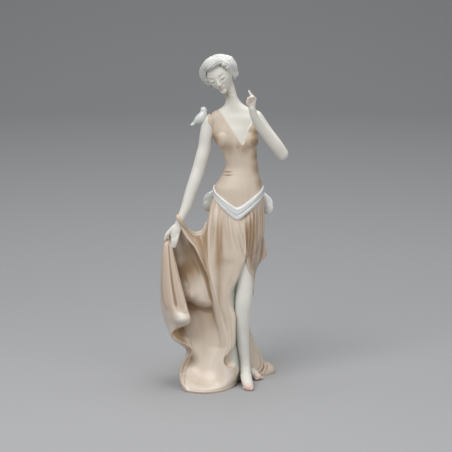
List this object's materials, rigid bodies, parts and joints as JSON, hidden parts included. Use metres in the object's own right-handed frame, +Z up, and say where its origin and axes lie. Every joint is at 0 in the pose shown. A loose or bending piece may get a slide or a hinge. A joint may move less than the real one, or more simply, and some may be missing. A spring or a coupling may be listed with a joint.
{
  "type": "porcelain lady figurine",
  "caption": "Slender standing lady in a draped evening dress, one hand lifting the skirt, a small dove on her shoulder; glazed and bisque porcelain.",
  "frame": {"origin": "on the flat standing face under the skirt, below the waist's front-to-back middle and a little to the viewer's left of the waist", "axes": "+Z up the figure, -Y to the front, +X to the viewer's right"},
  "size_m": [0.1278, 0.1002, 0.329],
  "materials": {
    "dress_glaze": "glossy beige-pink glaze, darker brown where it pools in the folds",
    "bisque_skin": "matte warm white bisque",
    "hair": "matte light grey bisque with fine strands",
    "white_glaze": "glossy white glaze"
  },
  "bodies": {
    "root": {"lady_figurine": "dress_glaze"}
  },
  "joints": []
}
